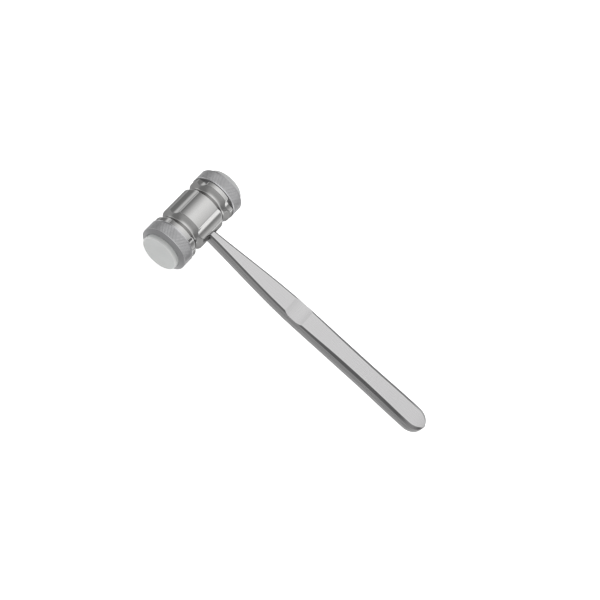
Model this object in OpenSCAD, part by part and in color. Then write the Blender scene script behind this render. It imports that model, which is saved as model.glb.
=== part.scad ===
// Double-faced surgical mallet: a fluted steel head, two nylon striking faces that are
// clamped by knurled screw rings, and a flat tapered handle that is locked in the head.
// Head axis along Y, handle along +X, broad side of the handle towards +Z.
// The origin is the centre of the head, where its axis meets the handle's axis. Millimetres.

/* [Overall] */
// Length from the back of the rings to the tip of the handle
overall_l = 190; // [150:0.5:235]
// Diameter of the head's drum and collars
head_d = 28.8; // [23:0.1:36]

/* [Head] */
// Length of the fluted drum between the two coves
drum_l = 17.8; // [14:0.1:24]
// Width of each cove
cove_w = 6.8; // [4:0.1:8]
// Depth of each cove
cove_depth = 2.2; // [1:0.1:2.6]
// Length of the plain collar behind each ring
collar_l = 2.9; // [2.5:0.1:6]
// Break on the head's turned edges
edge_break = 0.35; // [0.1:0.05:0.6]

/* [Flutes] */
// Radius of the cutter that leaves a flute
flute_r = 11; // [6:0.5:14]
// Depth of a flute below the drum
flute_depth = 1.2; // [0.6:0.1:1.5]

/* [Clamp rings] */
// How far a ring stands proud of the collar
ring_proud = 0.35; // [0:0.05:1]
// Wall of the ring outside its thread
ring_wall = 2.25; // [1.8:0.05:3]
// Length of the screw thread on each end of the head
thread_l = 4.5; // [3:0.1:7]
// Thickness of the ring's lip over the striking face
lip_t = 2.05; // [1.6:0.05:3.5]
// Radial overlap of the lip on the striking face's flange
lip_overlap = 0.65; // [0.5:0.05:1.5]
// Length of the bevel on the ring's front
bevel_l = 1.35; // [0.5:0.05:1.5]
// Radial width of that bevel
bevel_w = 2.6; // [0.5:0.1:2.7]
// Gap between a tight ring and the collar
ring_gap = 0.1; // [0.05:0.05:0.5]

/* [Striking faces] */
// Thickness of the flange under the ring's lip
flange_t = 2.35; // [1.5:0.05:4]
// How far a striking face stands out of its ring
face_proud = 2.9; // [0.5:0.1:4]
// Break on the striking face's edge
face_break = 0.5; // [0.2:0.1:0.9]

/* [Fits] */
// Radial running clearance of the screw thread
thread_clear = 0.05; // [0.02:0.01:0.1]
// Radial clearance of the striking face in its ring
face_clear = 0.15; // [0.1:0.05:0.3]
// Radial clearance of the tang and the lock screw in the head
tang_clear = 0.02; // [0.01:0.01:0.05]

/* [Handle] */
// Width of the neck where it leaves the head
neck_w = 5.1; // [4:0.1:6]
// Thickness of the neck
neck_t = 7.5; // [6:0.1:8.5]
// Width of the bevel along the neck's edges
neck_bevel_w = 1.2; // [0.5:0.05:1.6]
// Height of that bevel
neck_bevel_h = 0.5; // [0.2:0.05:0.9]
// Distance of the thumb rest from the head's axis
rest_x = 79; // [60:1:95]
// Width at the thumb rest
rest_w = 13.4; // [11:0.1:15]
// Length of the thumb rest
rest_l = 12.5; // [9:0.5:16]
// Depth of the thumb rest
rest_depth = 0.65; // [0.4:0.05:0.9]
// Width at the narrow part of the grip
grip_w = 13.3; // [11:0.1:15]
// Distance of that narrow part from the tip
grip_back = 45; // [35:1:55]
// Thickness of the grip
grip_t = 8.2; // [7.2:0.1:9.5]
// Width of the bevel along the grip's edges
grip_bevel_w = 1.9; // [1:0.05:2.2]
// Height of that bevel
grip_bevel_h = 0.95; // [0.5:0.05:1.5]
// Width of the grip's rounded end
tip_w = 14.3; // [11:0.1:16.2]
// Length over which the grip's end is rounded
tip_l = 9; // [7:0.5:14]
// Thickness where the rounded end starts
tip_t = 7.6; // [6:0.1:8.8]
// Share of that thickness lost on the way to the very tip
tip_loss = 0.3; // [0.1:0.05:0.6]
// How far the handle's sides lean in from its middle line
side_draft = 0.25; // [0.1:0.05:0.4]
// Belly of the neck's taper
neck_belly = 0.8; // [0:0.05:0.9]

/* [Joint of handle and head] */
// Diameter of the tang
tang_d = 4.4; // [3.5:0.1:4.6]
// How far the tang reaches past the head's axis
tang_past = 6; // [4:0.5:9]
// Radius of the flat seat cut round the neck
seat_r = 5; // [4.8:0.1:6]
// Depth of that seat below the drum
seat_depth = 1.1; // [0.9:0.1:1.8]
// Diameter of the lock screw
screw_d = 5; // [4:0.1:6]
// Diameter of the lock screw's dog point
dog_d = 2.5; // [2:0.1:3]
// How far the dog point enters the tang
dog_depth = 1.2; // [0.8:0.1:1.5]
// How far the lock screw lies below the end of the head
screw_sunk = 0.8; // [0.3:0.1:2]
// Width across the flats of its hexagon socket
hex_af = 2.5; // [2:0.1:3]
// Depth of the hexagon socket
hex_depth = 3; // [2:0.1:4]

/* [Hidden] */
$fn = 96;
// A small overrun, so that a cut passes clean through a face
over = 1;
head_r = head_d / 2;
ring_r = head_r + ring_proud;
thread_r = ring_r - ring_wall;
flange_r = thread_r + thread_clear - face_clear;
lip_r = flange_r - lip_overlap;
face_r = lip_r - face_clear;

// Stations along the head's axis, measured from its centre
cove_start = drum_l / 2;
cove_end = cove_start + cove_w;
cove_mid = cove_start + cove_w / 2;
collar_end = cove_end + collar_l;
core_end = collar_end + thread_l;
flange_end = core_end + flange_t;
ring_start = collar_end + ring_gap;
ring_end = flange_end + lip_t;
face_end = ring_end + face_proud;

// The cove is an arc through its two broken edges and its floor
cove_sag = cove_depth - edge_break;
cove_r = (pow(cove_w / 2, 2) + pow(cove_sag, 2)) / (2 * cove_sag);

// Stations along the handle, measured from the head's axis
seat_x = head_r - seat_depth;
tip_x = overall_l - ring_r;
round_x = tip_x - tip_l;
grip_x = tip_x - grip_back;
grip_in_x = rest_x + 0.75 * (grip_x - rest_x);
grip_out_x = grip_x + 0.45 * (round_x - grip_x);
straight_steps = 36;
round_steps = 8;
round_angle = 84;
rest_r = (pow(rest_l / 2, 2) + pow(rest_depth, 2)) / (2 * rest_depth);
rest_t = neck_t - 2 * rest_depth;

tang_r = tang_d / 2;
screw_r = screw_d / 2;
dog_r = dog_d / 2;
screw_end = core_end - screw_sunk;
screw_tip = tang_r + tang_clear;

function mix(a, b, u) = a + (b - a) * u;
function clamp(u) = min(max(u, 0), 1);
function ease(u) = clamp(u) * clamp(u) * (3 - 2 * clamp(u));
function share(x, from, to) = clamp((x - from) / (to - from));
function taper(u) = u + neck_belly * u * u * (1 - u);

// Width and thickness of the handle, and its bevel's width and height, at a distance x
// from the head's axis
function width_at(x) =
    x < rest_x ? mix(neck_w, rest_w, taper(share(x, seat_x, rest_x)))
    : x < grip_x ? mix(rest_w, grip_w, ease(share(x, rest_x, grip_x)))
    : mix(grip_w, tip_w, ease(share(x, grip_x, round_x)));
function thickness_at(x) =
    x < grip_out_x ? mix(neck_t, grip_t, ease(share(x, rest_x, grip_in_x)))
    : mix(grip_t, tip_t, ease(share(x, grip_out_x, round_x)));
function bevel_at(x) =
    let (u = ease(share(x, rest_x, grip_in_x)))
    [mix(neck_bevel_w, grip_bevel_w, u), mix(neck_bevel_h, grip_bevel_h, u)];

// One cross-section: ten corners, with a ridge at half height on each side
function section(x, w, t, bevel) =
    let (
        side = w / 2 - min(side_draft, w / 8),
        cut = min(bevel[0], w / 5),
        high = t / 2,
        low = high - min(bevel[1], t / 4),
        half = [[w / 2, 0], [side, low], [side - cut, high], [cut - side, high], [-side, low]]
    )
    concat([for (p = half) [x, p[0], p[1]]], [for (p = half) [x, -p[0], -p[1]]]);

straight_sections = [
    for (i = [0 : straight_steps])
        let (x = mix(seat_x, round_x, i / straight_steps))
        section(x, width_at(x), thickness_at(x), bevel_at(x))
];
round_sections = [
    for (i = [1 : round_steps])
        let (a = round_angle * i / round_steps, t = tip_t * mix(1, cos(a), tip_loss))
        section(round_x + tip_l * sin(a), tip_w * cos(a), t, [grip_bevel_w, grip_bevel_h])
];
sections = concat(straight_sections, round_sections);
corners = len(sections[0]);
last = len(sections) - 1;

// Turns a profile of [radius, station] about the head's axis
module turned() {
    rotate([-90, 0, 0])
        rotate_extrude()
            children();
}

// A plain cylinder along the head's axis between two stations
module along_y(r, from, to) {
    translate([0, from, 0])
        rotate([-90, 0, 0])
            cylinder(r = r, h = to - from);
}

// Half of the head's outline, from its middle to one end
module core_profile() {
    difference() {
        polygon([
            [0, 0],
            [head_r, 0],
            [head_r, cove_start - edge_break],
            [head_r - edge_break, cove_start],
            [head_r - edge_break, cove_end],
            [head_r, cove_end + edge_break],
            [head_r, collar_end - edge_break],
            [head_r - edge_break, collar_end],
            [thread_r, collar_end],
            [thread_r, core_end - edge_break],
            [thread_r - edge_break, core_end],
            [0, core_end]
        ]);
        translate([head_r - cove_depth + cove_r, cove_mid])
            circle(cove_r);
    }
}

// Four hollow flutes that stop at the collars' ends, between the handle's and the side lobes
module flutes() {
    for (a = [45 : 90 : 315])
        rotate([0, a, 0])
            translate([head_r - flute_depth + flute_r, 0, 0])
                along_y(flute_r, -collar_end, collar_end);
}

module head_core() {
    color("gainsboro")
        difference() {
            union() {
                turned() core_profile();
                mirror([0, 1, 0]) turned() core_profile();
            }
            flutes();
            translate([seat_x, 0, 0])
                rotate([0, 90, 0])
                    cylinder(r = seat_r, h = head_r);
            translate([-tang_past - tang_clear, 0, 0])
                rotate([0, 90, 0])
                    cylinder(r = tang_r + tang_clear, h = tang_past + head_r);
            along_y(screw_r + tang_clear, -core_end - over, 0);
        }
}

// The handle's bar, swept through its cross-sections
module bar() {
    polyhedron(
        points = [for (ring = sections) each ring],
        faces = concat(
            [[for (k = [0 : corners - 1]) k]],
            [
                for (i = [0 : last - 1], k = [0 : corners - 1])
                    let (n = (k + 1) % corners, a = i * corners, b = a + corners)
                    [a + k, b + k, b + n, a + n]
            ],
            [[for (k = [corners - 1 : -1 : 0]) last * corners + k]]
        ),
        convexity = 4
    );
}

module thumb_rest() {
    for (side = [-1, 1])
        translate([rest_x, 0, side * (rest_t / 2 + rest_r)])
            along_y(rest_r, -rest_w, rest_w);
}

module handle() {
    color("silver")
        difference() {
            union() {
                difference() {
                    bar();
                    thumb_rest();
                }
                translate([-tang_past, 0, 0])
                    rotate([0, 90, 0])
                        cylinder(r = tang_r, h = tang_past + seat_x + over);
            }
            along_y(dog_r + tang_clear, -tang_d, dog_depth + tang_clear - tang_r);
        }
}

module lock_screw() {
    color("dimgray")
        difference() {
            union() {
                along_y(screw_r, -screw_end, -screw_tip);
                along_y(dog_r, -screw_tip - over, dog_depth - tang_r);
            }
            translate([0, hex_depth - screw_end, 0])
                rotate([90, 0, 0])
                    cylinder(d = hex_af / cos(30), h = hex_depth + over, $fn = 6);
        }
}

// Nylon insert at the end of the head, drawn on the +Y side
module striking_face() {
    turned()
        polygon([
            [0, core_end],
            [flange_r, core_end],
            [flange_r, flange_end],
            [face_r, flange_end],
            [face_r, face_end - face_break],
            [face_r - face_break, face_end],
            [0, face_end]
        ]);
}

// Screw ring over that insert, drawn on the +Y side
module clamp_ring() {
    turned()
        polygon([
            [thread_r + thread_clear, ring_start],
            [ring_r - edge_break, ring_start],
            [ring_r, ring_start + edge_break],
            [ring_r, ring_end - bevel_l],
            [ring_r - bevel_w, ring_end],
            [lip_r, ring_end],
            [lip_r, flange_end],
            [thread_r + thread_clear, flange_end]
        ]);
}

module front_striking_face() { color("whitesmoke") mirror([0, 1, 0]) striking_face(); }
module rear_striking_face() { color("whitesmoke") striking_face(); }
module front_clamp_ring() { color("darkgray") mirror([0, 1, 0]) clamp_ring(); }
module rear_clamp_ring() { color("darkgray") clamp_ring(); }

head_core();
handle();
lock_screw();
front_striking_face();
rear_striking_face();
front_clamp_ring();
rear_clamp_ring();
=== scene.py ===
import math

import bmesh
import bpy
import numpy as np
from mathutils import Matrix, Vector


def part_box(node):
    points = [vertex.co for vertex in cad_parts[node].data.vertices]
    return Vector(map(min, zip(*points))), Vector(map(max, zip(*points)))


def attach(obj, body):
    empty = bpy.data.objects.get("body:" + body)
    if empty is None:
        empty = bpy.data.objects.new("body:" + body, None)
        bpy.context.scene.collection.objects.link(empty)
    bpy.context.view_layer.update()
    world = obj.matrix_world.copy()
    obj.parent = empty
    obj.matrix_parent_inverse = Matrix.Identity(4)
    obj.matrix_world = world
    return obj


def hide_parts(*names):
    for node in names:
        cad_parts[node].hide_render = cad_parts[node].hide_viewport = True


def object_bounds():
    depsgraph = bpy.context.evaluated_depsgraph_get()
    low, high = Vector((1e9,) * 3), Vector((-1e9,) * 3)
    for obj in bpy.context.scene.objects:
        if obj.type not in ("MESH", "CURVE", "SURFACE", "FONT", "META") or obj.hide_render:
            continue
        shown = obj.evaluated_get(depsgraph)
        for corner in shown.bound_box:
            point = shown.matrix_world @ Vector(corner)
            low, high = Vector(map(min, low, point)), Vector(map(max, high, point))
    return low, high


# Looks of a double-faced surgical mallet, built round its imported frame.
# Lengths in the dictionaries are millimetres, and Blender's are metres.
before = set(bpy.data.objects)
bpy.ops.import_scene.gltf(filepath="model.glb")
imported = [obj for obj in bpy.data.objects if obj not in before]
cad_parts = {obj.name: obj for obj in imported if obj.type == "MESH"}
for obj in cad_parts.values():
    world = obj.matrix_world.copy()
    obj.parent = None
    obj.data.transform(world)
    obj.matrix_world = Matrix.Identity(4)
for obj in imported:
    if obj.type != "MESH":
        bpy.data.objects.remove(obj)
cadLow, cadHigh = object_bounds()
mm = 0.001
print("frame loaded")


def boxInMm(node):
    low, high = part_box(node)
    return low / mm, high / mm


# The few sizes that every piece shares come from the frame
coreLow, coreHigh = boxInMm("head_core")
ringLow, ringHigh = boxInMm("rear_clamp_ring")
faceLow, faceHigh = boxInMm("rear_striking_face")
barLow, barHigh = boxInMm("handle")
screwLow, screwHigh = boxInMm("lock_screw")
faceClearance = 0.15  # between a striking face's flange and the bore of its ring
headR = coreHigh.z
coreEnd = coreHigh.y
ringR = ringHigh.z
ringStart = ringLow.y
ringEnd = ringHigh.y
flangeR = faceHigh.z
faceEnd = faceHigh.y
boreR = flangeR + faceClearance


# mesh helpers: everything below is worked out in millimetres

def mix(a, b, u):
    return a + (b - a) * u


def share(x, start, end):
    return float(np.clip((x - start) / (end - start), 0, 1))


def ease(u):
    u = np.clip(u, 0, 1)
    return u * u * (3 - 2 * u)


def softMin(a, b, blend):
    # the lower of two surfaces, with their crossing rounded over a small height
    u = np.clip(0.5 + 0.5 * (b - a) / blend, 0, 1)
    return b + (a - b) * u - blend * u * (1 - u), 4 * u * (1 - u)


def wave(turns):
    # a triangle wave, 0 at whole turns and 1 half way between them
    return 1 - np.abs(2 * (turns - np.floor(turns)) - 1)


def softCorners(corners, cutBack, closed, steps=4):
    # rounds the corners of an outline, and holds the flats beside each rounding
    most = 0.33  # of a side's length may be cut back
    hold = 1.35  # times the cut, where the flat is held
    corners = np.array(corners, float)
    count = len(corners)
    points = []
    rubAndShade = []
    for i, (corner, back) in enumerate(zip(corners, cutBack)):
        if not closed and i in (0, count - 1):
            points.append(corner)
            rubAndShade.append(0)
            continue
        toLast = corners[i - 1] - corner
        toNext = corners[(i + 1) % count] - corner
        lastSpan = max(np.linalg.norm(toLast), 1e-6)
        nextSpan = max(np.linalg.norm(toNext), 1e-6)
        back = min(back, most * lastSpan, most * nextSpan)
        toLast *= back / lastSpan
        toNext *= back / nextSpan
        points.append(corner + hold * toLast)
        rubAndShade.append(0)
        for u in np.linspace(0, 1, steps + 1):
            points.append(corner + (1 - u) ** 2 * toLast + u ** 2 * toNext)
            rubAndShade.append(1)
        points.append(corner + hold * toNext)
        rubAndShade.append(0)
    return np.array(points), np.array(rubAndShade, float)


def turnedRow(station, radius, angles):
    # one ring of points round the head's axis; angles run from +Z towards +X
    station = np.broadcast_to(station, angles.shape)
    return np.column_stack((radius * np.sin(angles), station, radius * np.cos(angles)))


def gridPiece(name, rows, rubAndShade, closed=False, crossed=(0, 0)):
    # joins rows of points into one closed skin; rows in the crossed range get alternating diagonals
    count = len(rows[0])
    points = np.vstack(rows)
    wear = np.concatenate([np.broadcast_to(r, count) for r in rubAndShade])
    faces = []
    for i in range(len(rows) if closed else len(rows) - 1):
        a = i * count
        b = (i + 1) % len(rows) * count
        for k in range(count):
            n = (k + 1) % count
            if not crossed[0] <= i < crossed[1]:
                faces.append((a + k, a + n, b + n, b + k))
            elif (i - crossed[0] + k) % 2:
                faces += [(a + k, a + n, b + k), (a + n, b + n, b + k)]
            else:
                faces += [(a + k, a + n, b + n), (a + k, b + n, b + k)]
    if not closed:
        first = len(points)
        points = np.vstack([points, rows[0].mean(0), rows[-1].mean(0)])
        wear = np.append(wear, (0, 0))
        last = (len(rows) - 1) * count
        for k in range(count):
            n = (k + 1) % count
            faces.append((first, k, n))
            faces.append((first + 1, last + n, last + k))
    mesh = bpy.data.meshes.new(name)
    mesh.from_pydata((points * mm).tolist(), [], faces)
    # the rub value lightens worn edges, and on the clamp rings it also sets the painted shade in the
    # knurl's valleys
    mesh.attributes.new("rubAndShade", "FLOAT", "POINT").data.foreach_set("value", wear.astype(np.float32))
    facesOut(mesh)
    piece = bpy.data.objects.new(name, mesh)
    bpy.context.scene.collection.objects.link(piece)
    return piece


def facesOut(mesh):
    shape = bmesh.new()
    shape.from_mesh(mesh)
    bmesh.ops.remove_doubles(shape, verts=shape.verts, dist=1e-8)
    bmesh.ops.recalc_face_normals(shape, faces=shape.faces)
    shape.to_mesh(mesh)
    shape.free()


def weld(mesh, distance):
    # joins points that a cut has left closer together than the distance
    shape = bmesh.new()
    shape.from_mesh(mesh)
    bmesh.ops.remove_doubles(shape, verts=shape.verts, dist=distance)
    shape.to_mesh(mesh)
    shape.free()


def plug(name, start, end, radii, sides=64):
    # a cutter: a round or many-sided bar between two points, with a radius at each end
    start = np.array(start, float)
    end = np.array(end, float)
    along = (end - start) / np.linalg.norm(end - start)
    across = np.cross(along, (0, 0, 1) if abs(along[2]) < 0.9 else (1, 0, 0))
    across /= np.linalg.norm(across)
    up = np.cross(along, across)
    turn = np.arange(sides) * 2 * math.pi / sides
    circle = np.outer(np.cos(turn), across) + np.outer(np.sin(turn), up)
    return gridPiece(name, [start + radii[0] * circle, end + radii[1] * circle], [0, 0])


def cutWith(piece, cutter):
    # takes the cutter's shape out of the piece, for good; the cut is made in millimetres,
    # because the exact solver can leave open edges on shapes this small in metres
    for shape in (piece, cutter):
        shape.data.transform(Matrix.Scale(1 / mm, 4))
    change = piece.modifiers.new("cut", "BOOLEAN")
    change.operation = "DIFFERENCE"
    change.solver = "EXACT"
    change.object = cutter
    bpy.context.view_layer.update()
    ready = piece.evaluated_get(bpy.context.evaluated_depsgraph_get())
    mesh = bpy.data.meshes.new_from_object(ready)
    weld(mesh, 1e-4)
    mesh.transform(Matrix.Scale(mm, 4))
    piece.modifiers.clear()
    piece.data = mesh
    bpy.data.objects.remove(cutter)


def finishPiece(piece, material, body, node, crease=28):
    # smooth shading with crisp creases, then the material and the piece's place in the frame
    piece.data.polygons.foreach_set("use_smooth", [True] * len(piece.data.polygons))
    piece.data.set_sharp_from_angle(angle=math.radians(crease))
    piece.data.materials.clear()
    piece.data.materials.append(material)
    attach(piece, body)
    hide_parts(node)
    print("built", piece.name, len(piece.data.polygons), "faces")


# shader helpers

class Wire:
    # one socket of a node tree, on which maths can be written as Python

    def __init__(self, bench, socket):
        self.bench = bench
        self.socket = socket

    def maths(self, operation, *values):
        inputs = {i: value for i, value in enumerate(values)}
        return self.bench.node("ShaderNodeMath", {"operation": operation}, inputs)

    def __add__(self, other):
        return self.maths("ADD", self, other)

    __radd__ = __add__

    def __sub__(self, other):
        return self.maths("SUBTRACT", self, other)

    def __rsub__(self, other):
        return self.maths("SUBTRACT", other, self)

    def __mul__(self, other):
        return self.maths("MULTIPLY", self, other)

    __rmul__ = __mul__

    def __pow__(self, other):
        return self.maths("POWER", self, other)

    def __abs__(self):
        return self.maths("ABSOLUTE", self)


class Bench:
    # the node tree of one material or of the world

    def __init__(self, owner):
        owner.use_nodes = True
        self.owner = owner
        self.tree = owner.node_tree
        self.tree.nodes.clear()

    def node(self, kind, settings=None, inputs=None, output=0):
        made = self.tree.nodes.new(kind)
        for key, value in (settings or {}).items():
            setattr(made, key, value)
        for key, value in (inputs or {}).items():
            if isinstance(value, Wire):
                self.tree.links.new(value.socket, made.inputs[key])
            else:
                made.inputs[key].default_value = value
        return Wire(self, made.outputs[output]) if len(made.outputs) else made

    def place(self):
        return self.node("ShaderNodeTexCoord", output="Object")

    def axes(self, vector):
        return [self.node("ShaderNodeSeparateXYZ", {}, {0: vector}, axis) for axis in "XYZ"]

    def stretch(self, vector, scale):
        return self.node("ShaderNodeVectorMath", {"operation": "MULTIPLY"}, {0: vector, 1: scale})

    def noise(self, vector, scale, detail=3, roughness=0.5):
        inputs = {"Vector": vector, "Scale": scale, "Detail": detail, "Roughness": roughness}
        return self.node("ShaderNodeTexNoise", {}, inputs)

    def blur(self, value, low, high):
        # 0 below low, 1 above high, with a smooth step between
        settings = {"interpolation_type": "SMOOTHSTEP"}
        inputs = {"Value": value, "From Min": low, "From Max": high}
        return self.node("ShaderNodeMapRange", settings, inputs)

    def blend(self, amount, first, second):
        # mixes two colours
        settings = {"data_type": "RGBA"}
        return self.node("ShaderNodeMix", settings, {0: amount, 6: first, 7: second}, 2)

    def rubAndShade(self):
        return self.node("ShaderNodeAttribute", {"attribute_name": "rubAndShade"}, output="Fac")

    def bump(self, height, strength, distance, below=None):
        inputs = {"Height": height, "Strength": strength, "Distance": distance}
        if below is not None:
            inputs["Normal"] = below
        return self.node("ShaderNodeBump", {}, inputs)

    def surface(self, inputs):
        shader = self.node("ShaderNodeBsdfPrincipled", {}, inputs)
        self.node("ShaderNodeOutputMaterial", {}, {"Surface": shader})
        return self.owner


def newBench(name):
    return Bench(bpy.data.materials.new(name))


def grey(level, tint=(1, 1, 1)):
    return (level * tint[0], level * tint[1], level * tint[2], 1)


# materials

polishValues = {
    "steel": grey(0.50, (1.0, 0.995, 0.985)),
    "rubbedSteel": grey(0.60),
    "limb": grey(0.55),  # tint at grazing angles
    "roughness": 0.17,
    "hazedSteel": grey(0.40, (1, 0.98, 0.95)),
    "markSpacing": 0.09,
    "markDepth": 0.0006,
}


def polishedSteel():
    values = polishValues
    bench = newBench("polishedSteel")
    place = bench.place()
    lines = 1 / (values["markSpacing"] * mm)
    marks = bench.noise(bench.stretch(place, (40, lines, 40)), 1, 2)
    cloud = bench.noise(place, 170, 4)
    haze = bench.noise(place, 900, 2)
    rubAndShade = bench.rubAndShade()
    roughness = values["roughness"] + 0.10 * (cloud - 0.5) + 0.05 * (haze - 0.5)
    roughness = roughness + 0.08 * (marks - 0.5) - 0.05 * rubAndShade
    colour = bench.blend(rubAndShade, values["steel"], values["rubbedSteel"])
    colour = bench.blend(0.12 * cloud, colour, values["hazedSteel"])
    normal = bench.bump(marks, 0.35, values["markDepth"] * mm)
    return bench.surface({"Base Color": colour, "Metallic": 1.0, "Roughness": roughness,
                          "Normal": normal, "Specular Tint": values["limb"]})


satinValues = {
    "steel": grey(0.48, (1.0, 0.99, 1.0)),
    "rubbedSteel": grey(0.56),
    "grainSteel": grey(0.42),
    "bevelShadeSteel": grey(0.13, (0.99, 0.99, 1.0)),
    "bevelShadeFade": (158, 171),  # where the painted shade on the bevels fades to half towards the tip
    "bevelShadeFacing": (0.5, 0.75, 0.955, 0.98),
    "roughness": 0.27,
    "grainLength": 9,
    "grainWidth": 0.11,
    "grainDepth": 0.0012,
}


def satinSteel():
    values = satinValues
    bench = newBench("satinSteel")
    place = bench.place()
    along = 1 / (values["grainLength"] * mm)
    across = 1 / (values["grainWidth"] * mm)
    x = bench.axes(place)[0]
    # the thumb rest is milled across, and the rest of the handle is ground lengthwise
    half = handleValues["restLength"] / 2 * mm
    soft = 0.4 * mm
    inRest = 1 - bench.blur(abs(x - handleValues["restX"] * mm), half - soft, half + soft)
    lengthwise = bench.noise(bench.stretch(place, (along, across, across)), 1, 3, 0.6)
    crosswise = bench.noise(bench.stretch(place, (across * 0.7, along, along)), 1, 3, 0.6)
    grain = lengthwise * (1 - inRest) + crosswise * inRest
    cloud = bench.noise(place, 90, 4)
    rubAndShade = bench.rubAndShade()
    roughness = values["roughness"] + 0.14 * (grain - 0.5) + 0.08 * (cloud - 0.5) - 0.06 * rubAndShade
    colour = bench.blend(rubAndShade, values["steel"], values["rubbedSteel"])
    colour = bench.blend(0.35 * grain, colour, values["grainSteel"])
    # the bevels, picked out by the way they face, are painted darker: painted shade standing in for
    # the dark surroundings that they reflect, a little lighter on their rounded edges
    facing = bench.axes(bench.node("ShaderNodeNewGeometry", output="Normal"))
    upright = abs(facing[2])
    steep, sloped, nearFlat, flat = values["bevelShadeFacing"]
    bevel = bench.blur(upright, steep, sloped) * (1 - bench.blur(upright, nearFlat, flat))
    bevel = bevel * bench.blur(abs(facing[1]), 0.15, 0.25)
    fadeStart, fadeEnd = values["bevelShadeFade"]
    bevel = bevel * (1 - 0.5 * bench.blur(x, fadeStart * mm, fadeEnd * mm))
    colour = bench.blend(bevel * (1 - 0.3 * rubAndShade), colour, values["bevelShadeSteel"])
    normal = bench.bump(grain, 0.25, values["grainDepth"] * mm)
    return bench.surface({"Base Color": colour, "Metallic": 1.0, "Roughness": roughness,
                          "Normal": normal})


knurlValues = {
    "steel": grey(0.60, (0.985, 0.985, 1.01)),
    "valleyShadeSteel": grey(0.42, (0.99, 0.99, 1.0)),
    "cloudSteel": grey(0.36),
    "roughness": 0.36,
    "grainDepth": 0.0015,
}


def knurledSteel():
    values = knurlValues
    bench = newBench("knurledSteel")
    place = bench.place()
    grain = bench.noise(place, 5200, 3, 0.65)
    turning = bench.noise(bench.stretch(place, (60, 9000, 60)), 1, 2)
    cloud = bench.noise(place, 140, 4)
    rubAndShade = bench.rubAndShade()
    roughness = values["roughness"] + 0.12 * (grain - 0.5) + 0.10 * (cloud - 0.5) - 0.08 * rubAndShade
    # painted shade: the knurl's valleys, low in the rub value, take the darker valley colour, and the
    # crests the bare steel
    colour = bench.blend(rubAndShade, values["valleyShadeSteel"], values["steel"])
    colour = bench.blend(0.2 * cloud, colour, values["cloudSteel"])
    normal = bench.bump(grain + turning, 0.3, values["grainDepth"] * mm)
    return bench.surface({"Base Color": colour, "Metallic": 1.0, "Roughness": roughness,
                          "Normal": normal})


nylonValues = {
    "white": grey(0.60, (0.985, 1.0, 0.995)),
    "shade": grey(0.53, (0.98, 1.0, 0.985)),
    "scuffed": grey(0.80),
    "roughness": 0.42,
    "ringSpacing": 0.16,
    "ringDepth": 0.004,
    "dentDepth": 0.02,
}


def nylon():
    values = nylonValues
    bench = newBench("nylon")
    place = bench.place()
    x, y, z = bench.axes(place)
    radius = (x * x + z * z) ** 0.5
    rings = bench.node("ShaderNodeTexNoise", {"noise_dimensions": "1D"},
                       {"W": radius, "Scale": 1 / (values["ringSpacing"] * mm), "Detail": 2})
    cloud = bench.noise(place, 110, 4)
    speck = bench.noise(place, 1500, 3, 0.6)
    dents = bench.blur(bench.noise(place, 420, 2), 0.62, 0.78)
    colour = bench.blend(0.7 * cloud + 0.3 * speck, values["white"], values["shade"])
    colour = bench.blend(0.35 * bench.rubAndShade(), colour, values["scuffed"])
    roughness = values["roughness"] + 0.16 * (cloud - 0.5) + 0.12 * (rings - 0.5)
    marks = bench.bump(rings, 0.35, values["ringDepth"] * mm)
    normal = bench.bump(1 - dents, 0.3, values["dentDepth"] * mm, marks)
    inputs = {"Base Color": colour, "Roughness": roughness, "Normal": normal, "IOR": 1.53,
              "Subsurface Weight": 0.15, "Subsurface Radius": (1.2, 1.1, 1.0), "Subsurface Scale": mm}
    return bench.surface(inputs)


blackValues = {
    "steel": grey(0.035, (1, 1, 1.05)),
    "rubbedSteel": grey(0.22),
    "roughness": 0.42,
    "grainDepth": 0.002,
}


def blackSteel():
    values = blackValues
    bench = newBench("blackSteel")
    place = bench.place()
    cloud = bench.noise(place, 600, 4)
    rubAndShade = bench.rubAndShade()
    colour = bench.blend(0.6 * rubAndShade, values["steel"], values["rubbedSteel"])
    roughness = values["roughness"] + 0.2 * (cloud - 0.5) - 0.1 * rubAndShade
    normal = bench.bump(cloud, 0.3, values["grainDepth"] * mm)
    return bench.surface({"Base Color": colour, "Metallic": 0.9, "Roughness": roughness,
                          "Normal": normal})


def paleFloor():
    bench = newBench("paleFloor")
    fibre = bench.noise(bench.place(), 350, 5, 0.6)
    colour = bench.blend(0.5 * fibre, grey(0.93), grey(0.90))
    return bench.surface({"Base Color": colour, "Roughness": 0.9, "Specular IOR Level": 0.1,
                          "Emission Color": grey(1), "Emission Strength": stageValues["floorGlow"]})


# head core: fluted drum, coves, collars and a screw thread on each end

threadValues = {
    "pitch": 1.5,
    "depth": 0.8,
    "clearance": 0.1,
    "reliefLength": 0.35,
}


def threadHeight(y, angles):
    # 0 at a groove and 1 at a crest of a right-hand thread, with small flats on both
    turns = y / threadValues["pitch"] - angles / (2 * math.pi)
    return np.clip(1.25 * wave(turns) - 0.125, 0, 1)


headValues = {
    "drumLength": 17.8,
    "coveWidth": 6.8,
    "coveDepth": 2.2,
    "collarLength": 2.9,
    "edgeBreak": 0.25,
    "fluteRadius": 11.0,
    "fluteDepth": 1.2,
    "softEdge": 0.30,
    "coveBlend": 0.35,
    "coveSoft": 0.6,
    "seatRadius": 5.0,
    "boltHole": 2.52,
    "tangHole": 2.22,
    "tangDepth": 6.02,
}


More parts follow.
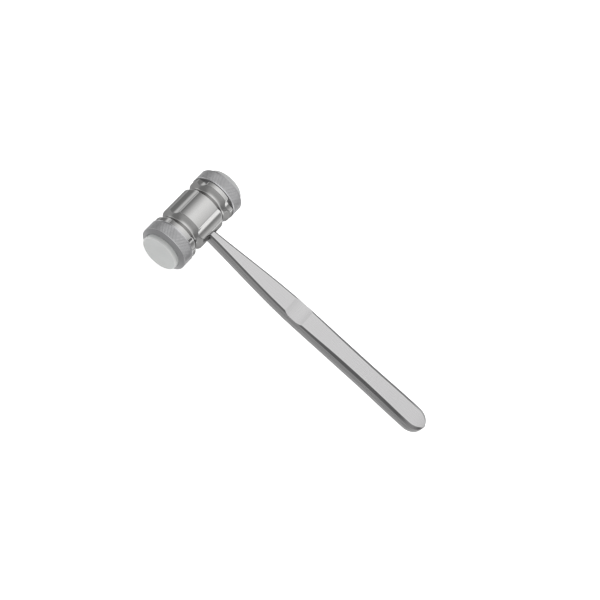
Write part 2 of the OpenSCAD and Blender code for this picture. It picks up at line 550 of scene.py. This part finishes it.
def headAngles():
    # close together inside the flutes and at their edges, wider apart on the lands
    quarter = np.concatenate([
        np.linspace(0, 28, 15)[:-1],
        np.linspace(28, 31, 13)[:-1],
        np.linspace(31, 59, 57)[:-1],
        np.linspace(59, 62, 13)[:-1],
        np.linspace(62, 90, 15)[:-1],
    ])
    return np.radians(np.concatenate([quarter + 90 * i for i in range(4)]))


def fluteRadiusAt(angles):
    # distance from the head's axis to the nearest flute's floor, far away between the flutes
    reach = headValues["fluteRadius"]
    centre = headR - headValues["fluteDepth"] + reach
    offset = (angles % (math.pi / 2)) - math.pi / 4
    inside = reach ** 2 - (centre * np.sin(offset)) ** 2
    floor = centre * np.cos(offset) - np.sqrt(np.maximum(inside, 0))
    return np.where(inside > 0, floor, headR + 5)


def coveRadiusAt(station):
    half = headValues["coveWidth"] / 2
    sag = headValues["coveDepth"] - headValues["edgeBreak"]
    arc = (half ** 2 + sag ** 2) / (2 * sag)
    middle = headValues["drumLength"] / 2 + half
    offset = station - middle
    if abs(offset) > half:
        return headR + 5
    hollow = arc - math.sqrt(arc ** 2 - offset ** 2)
    swell = sag * (1 - math.cos(math.pi * offset / half)) / 2
    return headR - headValues["coveDepth"] + mix(hollow, swell, headValues["coveSoft"])


def headRows(side, angles):
    # half of the head, from its middle to one end; side is -1 for the front and 1 for the rear
    values = headValues
    coveStart = values["drumLength"] / 2
    coveEnd = coveStart + values["coveWidth"]
    collarEnd = coveEnd + values["collarLength"]
    flute = fluteRadiusAt(angles)
    rows = []
    rubAndShade = []

    def addRow(station, radius, edge=0.0, fluted=True):
        shape, crossing = softMin(np.full_like(angles, radius), flute, values["softEdge"])
        if not fluted:
            shape = radius
            crossing = 0
        rows.append(turnedRow(side * station, shape, angles))
        rubAndShade.append(np.maximum(crossing, edge))

    reach = 0.7  # how far the cove's close rows run past its edges
    broken = values["edgeBreak"]
    plain = np.linspace(0, coveStart - reach - 0.2, 8)[(1 if side > 0 else 0):]
    cove = np.linspace(coveStart - reach, coveEnd + reach, 57)
    collar = np.linspace(coveEnd + reach + 0.3, collarEnd - 1.4 * broken, 5)
    for station in np.concatenate([plain, cove, collar]):
        radius, crossing = softMin(headR, coveRadiusAt(station), values["coveBlend"])
        addRow(station, radius, crossing)
    for a in np.radians(np.linspace(0, 90, 6)):
        addRow(collarEnd - broken * (1 - math.sin(a)), headR - broken * (1 - math.cos(a)), 1)
    addRow(collarEnd, headR - 1.4 * broken)
    root = boreR - threadValues["clearance"]
    crest = threadValues["depth"]
    relief = collarEnd + threadValues["reliefLength"]
    addRow(collarEnd, root, fluted=False)
    for station in np.arange(relief, coreEnd - 0.05, 0.1):
        fade = ease((station - relief) / 0.5) * ease((coreEnd - station) / 0.5)
        height = threadHeight(side * station, angles) * fade
        addRow(station, root + crest * height, 0.6 * height, fluted=False)
    addRow(coreEnd, root - 0.15, 1, fluted=False)
    addRow(coreEnd, root - 0.5, fluted=False)
    addRow(coreEnd, 4, fluted=False)
    return rows, rubAndShade


def headCore():
    values = headValues
    angles = headAngles()
    frontRows, frontRub = headRows(-1, angles)
    rearRows, rearRub = headRows(1, angles)
    piece = gridPiece("headCore", frontRows[::-1] + rearRows, frontRub[::-1] + rearRub)
    seatX = handleValues["seat"]
    over = 1  # how far a cutter runs on into open space
    seat = [values["seatRadius"]] * 2
    tang = [values["tangHole"]] * 2
    bolt = [values["boltHole"]] * 2
    mouth = [values["boltHole"] + 0.5, values["boltHole"] - 0.05]
    cutWith(piece, plug("seatCutter", (seatX, 0, 0), (headR + 2 * over, 0, 0), seat, 96))
    cutWith(piece, plug("tangCutter", (-values["tangDepth"], 0, 0), (seatX + over, 0, 0), tang))
    cutWith(piece, plug("boltCutter", (0, -coreEnd - over, 0), (0, 0, 0), bolt))
    cutWith(piece, plug("mouthCutter", (0, -coreEnd - 0.1, 0), (0, -coreEnd + 0.45, 0), mouth))
    return piece


# handle: tapered flat bar with bevelled edges, a thumb rest, a round tip and a tang

handleValues = {
    "seat": 13.3,
    "length": 190.0,
    "neckWidth": 5.1,
    "neckThickness": 7.5,
    "neckBevel": (1.2, 0.5),
    "restX": 79.0,
    "restWidth": 13.4,
    "restLength": 12.5,
    "restDepth": 0.65,
    "restSoftness": 0.05,
    "gripWidth": 13.3,
    "gripBack": 45.0,
    "gripBevel": (1.9, 0.95),
    "tipThickness": 7.6,
    "tipLength": 9,
    "tipLoss": 0.3,
    "sideDraft": 0.25,
    "neckBelly": 0.8,
    "edgeRound": 0.22,
    "partingFlat": 0.2,
    "tangRadius": 2.2,
    "dogRadius": 1.27,
    "dogDepth": 1.22,
}

def barSection(x, width, thickness, bevel):
    # corners of one cross-section as (y, z); the mid-side ridge is ground to a narrow flat
    values = handleValues
    sideY = width / 2 - min(values["sideDraft"], width / 8)
    cut = min(bevel[0], width / 5)
    high = thickness / 2
    low = high - min(bevel[1], thickness / 4)
    restReach = values["restLength"] / 2
    arc = (restReach ** 2 + values["restDepth"] ** 2) / (2 * values["restDepth"])
    offset = x - values["restX"]
    scooped = high
    if abs(offset) < 0.8 * arc:
        deepest = values["neckThickness"] / 2 - values["restDepth"]
        floor = deepest + arc - math.sqrt(arc ** 2 - offset ** 2)
        scooped = float(softMin(high, floor, values["restSoftness"])[0])
    flat = min(values["partingFlat"], 0.1 * thickness)
    topY = sideY - cut * (scooped - low) / (high - low)
    shoulder = (sideY, low)
    if scooped < low + 0.06:
        topY = mix(width / 2, sideY, scooped / low) - 0.06
        shoulder = (topY + 0.06, scooped - 0.06)
    quarter = [(width / 2 - 0.04 * flat, flat), shoulder, (topY, scooped)]
    upper = quarter + [(-y, z) for y, z in quarter[::-1]]
    lower = [(-y, -z) for y, z in quarter] + [(y, -z) for y, z in quarter[::-1]]
    return upper + lower


def barSizes(x, tipX, tipWidth, gripThickness):
    # width, thickness and bevel of the bar at a distance from the head's axis
    values = handleValues
    roundX = tipX - values["tipLength"]
    gripX = tipX - values["gripBack"]
    gripIn = mix(values["restX"], gripX, 0.75)
    gripOut = mix(gripX, roundX, 0.45)
    if x < values["restX"]:
        u = share(x, values["seat"], values["restX"])
        u += values["neckBelly"] * u * u * (1 - u)
        width = mix(values["neckWidth"], values["restWidth"], u)
    elif x < gripX:
        width = mix(values["restWidth"], values["gripWidth"], ease(share(x, values["restX"], gripX)))
    else:
        width = mix(values["gripWidth"], tipWidth, ease(share(x, gripX, roundX)))
    grown = ease(share(x, values["restX"], gripIn))
    thickness = mix(values["neckThickness"], gripThickness, grown)
    thickness = mix(thickness, values["tipThickness"], ease(share(x, gripOut, roundX)))
    bevel = [mix(neck, grip, grown) for neck, grip in zip(values["neckBevel"], values["gripBevel"])]
    return width, thickness, bevel


def handleBar():
    values = handleValues
    tipWidth = 2 * barHigh.y
    gripThickness = 2 * barHigh.z
    tipX = values["length"] - ringHigh.x
    roundX = tipX - values["tipLength"]
    reach = barHigh.x - roundX
    rows = []
    rubAndShade = []

    def addSection(x, scale, sizes):
        width, thickness, bevel = sizes
        thickness *= mix(1, scale, values["tipLoss"])
        corners = barSection(x, width * scale, thickness, bevel)
        points, edge = softCorners(corners, [values["edgeRound"]] * len(corners), True, 3)
        rows.append(np.column_stack((np.full(len(points), x), points)))
        rubAndShade.append(edge)

    restEdge = 0.75 * values["restLength"]
    stations = np.concatenate([
        np.linspace(values["seat"], values["restX"] - restEdge, 46)[:-1],
        np.linspace(values["restX"] - restEdge, values["restX"] + restEdge, 76)[:-1],
        np.linspace(values["restX"] + restEdge, roundX, 60),
    ])
    for x in stations:
        addSection(x, 1, barSizes(x, tipX, tipWidth, gripThickness))
    endSizes = barSizes(roundX, tipX, tipWidth, gripThickness)
    for a in np.radians(np.arange(3, 89, 3)):
        addSection(roundX + reach * math.sin(a), math.cos(a), endSizes)
    rows.append(np.tile((barHigh.x, 0, 0), (len(rows[0]), 1)))
    rubAndShade.append(1)

    # the neck stands on the head's seat, and a round tang goes on into the head
    turn = np.arctan2(rows[0][:, 2], rows[0][:, 1])
    tangR = values["tangRadius"]
    chamfer = 0.4
    tang = []
    for x, radius in ((barLow.x, tangR - chamfer), (barLow.x + chamfer, tangR),
                      (values["seat"] - 0.5, tangR), (values["seat"], tangR)):
        across = radius * np.cos(turn)
        up = radius * np.sin(turn)
        tang.append(np.column_stack((np.full_like(turn, x), across, up)))
    piece = gridPiece("handleBar", tang + rows, [0] * len(tang) + rubAndShade)
    floor = values["dogDepth"] - tangR
    cutWith(piece, plug("dogCutter", (0, -4, 0), (0, floor, 0), [values["dogRadius"]] * 2, 48))
    return piece


# striking faces: nylon inserts with a flange under the ring's lip

faceValues = {
    "flangeLength": 2.35,
    "shankClearance": 0.15,
    "lipOverlap": 0.65,
    "edgeRound": 0.75,
    "crown": 0.12,
    "domeInset": 2.5,
}


def strikingFace(name, side):
    values = faceValues
    angles = np.linspace(0, 2 * math.pi, 192, endpoint=False)
    lipR = flangeR - values["lipOverlap"]
    shank = lipR - values["shankClearance"]
    flangeEnd = coreEnd + values["flangeLength"]
    rim = faceEnd - values["crown"]
    domeR = shank - values["domeInset"]
    domeStart = 0.02
    corners = [(coreEnd, 0.4), (coreEnd, flangeR), (flangeEnd, flangeR), (flangeEnd, shank),
               (rim, shank), (rim + domeStart, domeR)]
    outline, edge = softCorners(corners, [0, 0.25, 0.2, 0.15, values["edgeRound"], 0], False, 7)
    dome = []
    for u in (0.8, 0.6, 0.4, 0.2, 0.05):
        dome.append((rim + mix(domeStart, values["crown"], 1 - u * u), u * domeR))
    rows = [turnedRow(side * station, r, angles) for station, r in list(outline) + dome]
    return gridPiece(name, rows, list(edge) + [0] * len(dome))


# clamp rings: knurled screw rings that hold the striking faces

ringValues = {
    "bevelLength": 1.35,
    "bevelWidth": 2.6,
    "edgeRound": 0.2,
    "knurlCount": 80,
    "knurlDepth": 0.19,
    "knurlGap": 0.08,  # plain metal between the knurl and the bevel
    "plainRim": 0.3,
    # the plain turned faces of the ring sit part way between the knurl's painted valley shade and its
    # crests
    "plainRubAndShade": 0.6,
    "mouthDepth": 0.25,
}


def clampRing(name, side):
    values = ringValues
    columns = 4 * values["knurlCount"]
    angles = np.linspace(0, 2 * math.pi, columns, endpoint=False)
    lipR = flangeR - faceValues["lipOverlap"]
    flangeEnd = coreEnd + faceValues["flangeLength"]
    bevelStart = ringEnd - values["bevelLength"]
    step = 2 * math.pi * ringR / columns
    bandStart = ringStart + values["plainRim"]
    bandRows = int((bevelStart - values["knurlGap"] - bandStart) / step)
    bandEnd = bandStart + bandRows * step
    rows = []
    rubAndShade = []

    def addOutline(corners, back):
        points, edge = softCorners(corners, back, False)
        for (station, radius), worn in zip(points, edge):
            rows.append(turnedRow(side * station, radius, angles))
            rubAndShade.append(values["plainRubAndShade"] + 0.25 * worn)

    # the mouth of the thread, the rear face and the plain rim behind the knurl
    mouthR = boreR + values["mouthDepth"]
    addOutline([(ringStart, mouthR), (ringStart, ringR), (bandStart - 0.04, ringR)],
               [0, values["edgeRound"], 0])
    bandFirst = len(rows)
    for j in range(bandRows + 1):
        u = np.arange(columns) / 4 + j / 4
        v = np.arange(columns) / 4 - j / 4
        height = np.minimum(wave(u), wave(v))
        cut = (1 - height) * min(1, j / 2, bandRows - j)
        radius = ringR - values["knurlDepth"] * cut
        rows.append(turnedRow(side * (bandStart + j * step), radius, angles))
        # the knurl's crests get 1 and its valleys 0, where the knurl material paints shade
        rubAndShade.append(1 - cut)
    bandLast = len(rows) - 1
    # the front bevel, the lip and the bore down to the thread
    threadEnd = coreEnd + 0.3
    addOutline([(bandEnd + 0.02, ringR), (bevelStart, ringR), (ringEnd, ringR - values["bevelWidth"]),
                (ringEnd, lipR), (flangeEnd, lipR), (flangeEnd, boreR), (threadEnd, boreR)],
               [0, 0.1, values["edgeRound"], 0.2, 0.1, 0.1, 0])
    for station in np.arange(threadEnd - 0.1, ringStart + 0.02, -0.1):
        fade = ease((threadEnd - station) / 0.5)
        height = threadHeight(side * station, angles) * fade
        mouth = values["mouthDepth"] * ease((ringStart + 0.25 - station) / 0.25)
        depth = np.maximum(threadValues["depth"] * height, mouth)
        rows.append(turnedRow(side * station, boreR + depth, angles))
        rubAndShade.append(0.5 + 0.5 * (1 - height))
    return gridPiece(name, rows, rubAndShade, closed=True, crossed=(bandFirst, bandLast))


# lock screw: a grub screw with a hexagon socket and a dog point

screwValues = {
    "pitch": 0.8,
    "threadDepth": 0.45,
    "dogRadius": 1.25,
    "tip": 2.22,
    "chamfer": 0.15,
    "socketFlats": 2.5,
    "socketDepth": 3.0,
}


def lockScrew():
    values = screwValues
    angles = np.linspace(0, 2 * math.pi, 96, endpoint=False)
    start = screwLow.y
    end = screwHigh.y
    radius = screwHigh.z
    folded = (angles % (math.pi / 3)) - math.pi / 6
    socket = values["socketFlats"] / 2 / np.cos(folded)
    chamfer = values["chamfer"]
    deep = start + values["socketDepth"]
    rootR = radius - values["threadDepth"]
    rows = [turnedRow(deep + 0.6, 0.1, angles),
            turnedRow(deep, socket, angles),
            turnedRow(start + chamfer, socket, angles),
            turnedRow(start, socket + 0.8 * chamfer, angles),
            turnedRow(start, rootR - 0.05, angles)]
    rubAndShade = [0, 0, 0.5, 1, 1]
    for y in np.arange(start + 0.3, -values["tip"] - 0.25, 0.08):
        fade = ease((y - start - 0.25) / 0.6) * ease((-values["tip"] - 0.2 - y) / 0.6)
        height = wave(y / values["pitch"] - angles / (2 * math.pi)) * fade
        rows.append(turnedRow(y, rootR + values["threadDepth"] * height, angles))
        rubAndShade.append(height)
    dogR = values["dogRadius"]
    for y, r in ((-values["tip"], radius - 0.7), (-values["tip"], dogR),
                 (end - chamfer, dogR), (end, dogR - chamfer), (end, 0.3)):
        rows.append(turnedRow(y, r, angles))
        rubAndShade.append(0)
    return gridPiece("lockScrew", rows, rubAndShade)


# the stage: floor, light and camera

stageValues = {
    "floorRadius": 4.0,
    "floorGap": 0.2,
    "floorGlow": 0.75,
    "roomLight": 0.52,
    "roomSides": (0.4, 0.8, 0.45),
    "skyLight": 0.80,
    "skyAcross": (-0.80, -0.10, 0.70, 0.90),
    "skyRight": (0, 0.5, 0.25),
    "skyDeep": (-0.85, 0.35),
    "horizon": (-0.15, 0.10),
    "tableLight": 0.42,
    "tableMiddle": (-0.8, 0.0, 0.23),
    "tableBack": (0.45, 0.80, 0.38),
    "tableLeft": (-0.56, -0.66, 0.20),
    "sparks": (((0.84, 0.48, -0.27), 1.05), ((-0.83, 0.48, -0.28), 0.50)),  # direction, gain
    "sparkEdge": (0.955, 0.995),
}

cameraValues = {
    "location": (0.05353, -0.40865, 0.74742),
    "turn": (21.595, -20.105, 37.983),
    "lens": 90.8,
}


def addFloor():
    mesh = bpy.data.meshes.new("floor")
    shape = bmesh.new()
    bmesh.ops.create_circle(shape, cap_ends=True, segments=96, radius=stageValues["floorRadius"])
    shape.to_mesh(mesh)
    shape.free()
    floor = bpy.data.objects.new("floor", mesh)
    floor.location.z = cadLow.z - stageValues["floorGap"] * mm
    floor.visible_glossy = False  # steel shows the studio's own gradient instead of the floor
    floor.visible_shadow = False
    mesh.materials.append(paleFloor())
    bpy.context.scene.collection.objects.link(floor)


def addLight():
    # a bright ceiling that fades towards the front and the sides, and a lit table below;
    # x, y and z are the direction that the light comes from
    values = stageValues
    world = bpy.data.worlds.new("studio")
    bpy.context.scene.world = world
    bench = Bench(world)
    way = bench.node("ShaderNodeTexCoord", output="Generated")
    x, y, z = bench.axes(way)
    near, far, loss = values["roomSides"]
    room = values["roomLight"] * (1 - loss * bench.blur(abs(x), near, far))
    left, leftFull, rightFull, right = values["skyAcross"]
    across = bench.blur(x, left, leftFull) * (1 - bench.blur(x, rightFull, right))
    near, far, loss = values["skyRight"]
    across = across * (1 - loss * bench.blur(x, near, far))
    sky = room + values["skyLight"] * across * bench.blur(y, *values["skyDeep"])
    table = values["tableLight"]
    for start, end, gain in (values["tableMiddle"], values["tableBack"]):
        table = table + gain * bench.blur(y, start, end)
    near, far, loss = values["tableLeft"]
    table = table * (1 - loss * bench.blur(x, near, far))
    above = bench.blur(z, *values["horizon"])
    light = table + (sky - table) * above
    for aim, gain in values["sparks"]:
        settings = {"operation": "DOT_PRODUCT"}
        nearness = bench.node("ShaderNodeVectorMath", settings, {0: way, 1: aim}, "Value")
        light = light + gain * bench.blur(nearness, *values["sparkEdge"])
    glow = bench.node("ShaderNodeBackground", {}, {"Color": grey(1), "Strength": light})
    bench.node("ShaderNodeOutputWorld", {}, {"Surface": glow})


def addCamera():
    lens = bpy.data.cameras.new("camera")
    lens.lens = cameraValues["lens"]
    lens.sensor_width = 36
    camera = bpy.data.objects.new("camera", lens)
    camera.location = cameraValues["location"]
    camera.rotation_euler = [math.radians(turn) for turn in cameraValues["turn"]]
    bpy.context.scene.collection.objects.link(camera)
    bpy.context.scene.camera = camera


# building

addCamera()
addFloor()
addLight()
bpy.context.scene.view_settings.view_transform = "Standard"
print("stage ready")

polish = polishedSteel()
knurl = knurledSteel()
insert = nylon()
finishPiece(headCore(), polish, "head", "head_core")
finishPiece(handleBar(), satinSteel(), "head", "handle")
finishPiece(lockScrew(), blackSteel(), "head", "lock_screw")
finishPiece(strikingFace("frontStrikingFace", -1), insert, "front_face", "front_striking_face")
finishPiece(strikingFace("rearStrikingFace", 1), insert, "rear_face", "rear_striking_face")
finishPiece(clampRing("frontClampRing", -1), knurl, "front_ring", "front_clamp_ring")
finishPiece(clampRing("rearClampRing", 1), knurl, "rear_ring", "rear_clamp_ring")
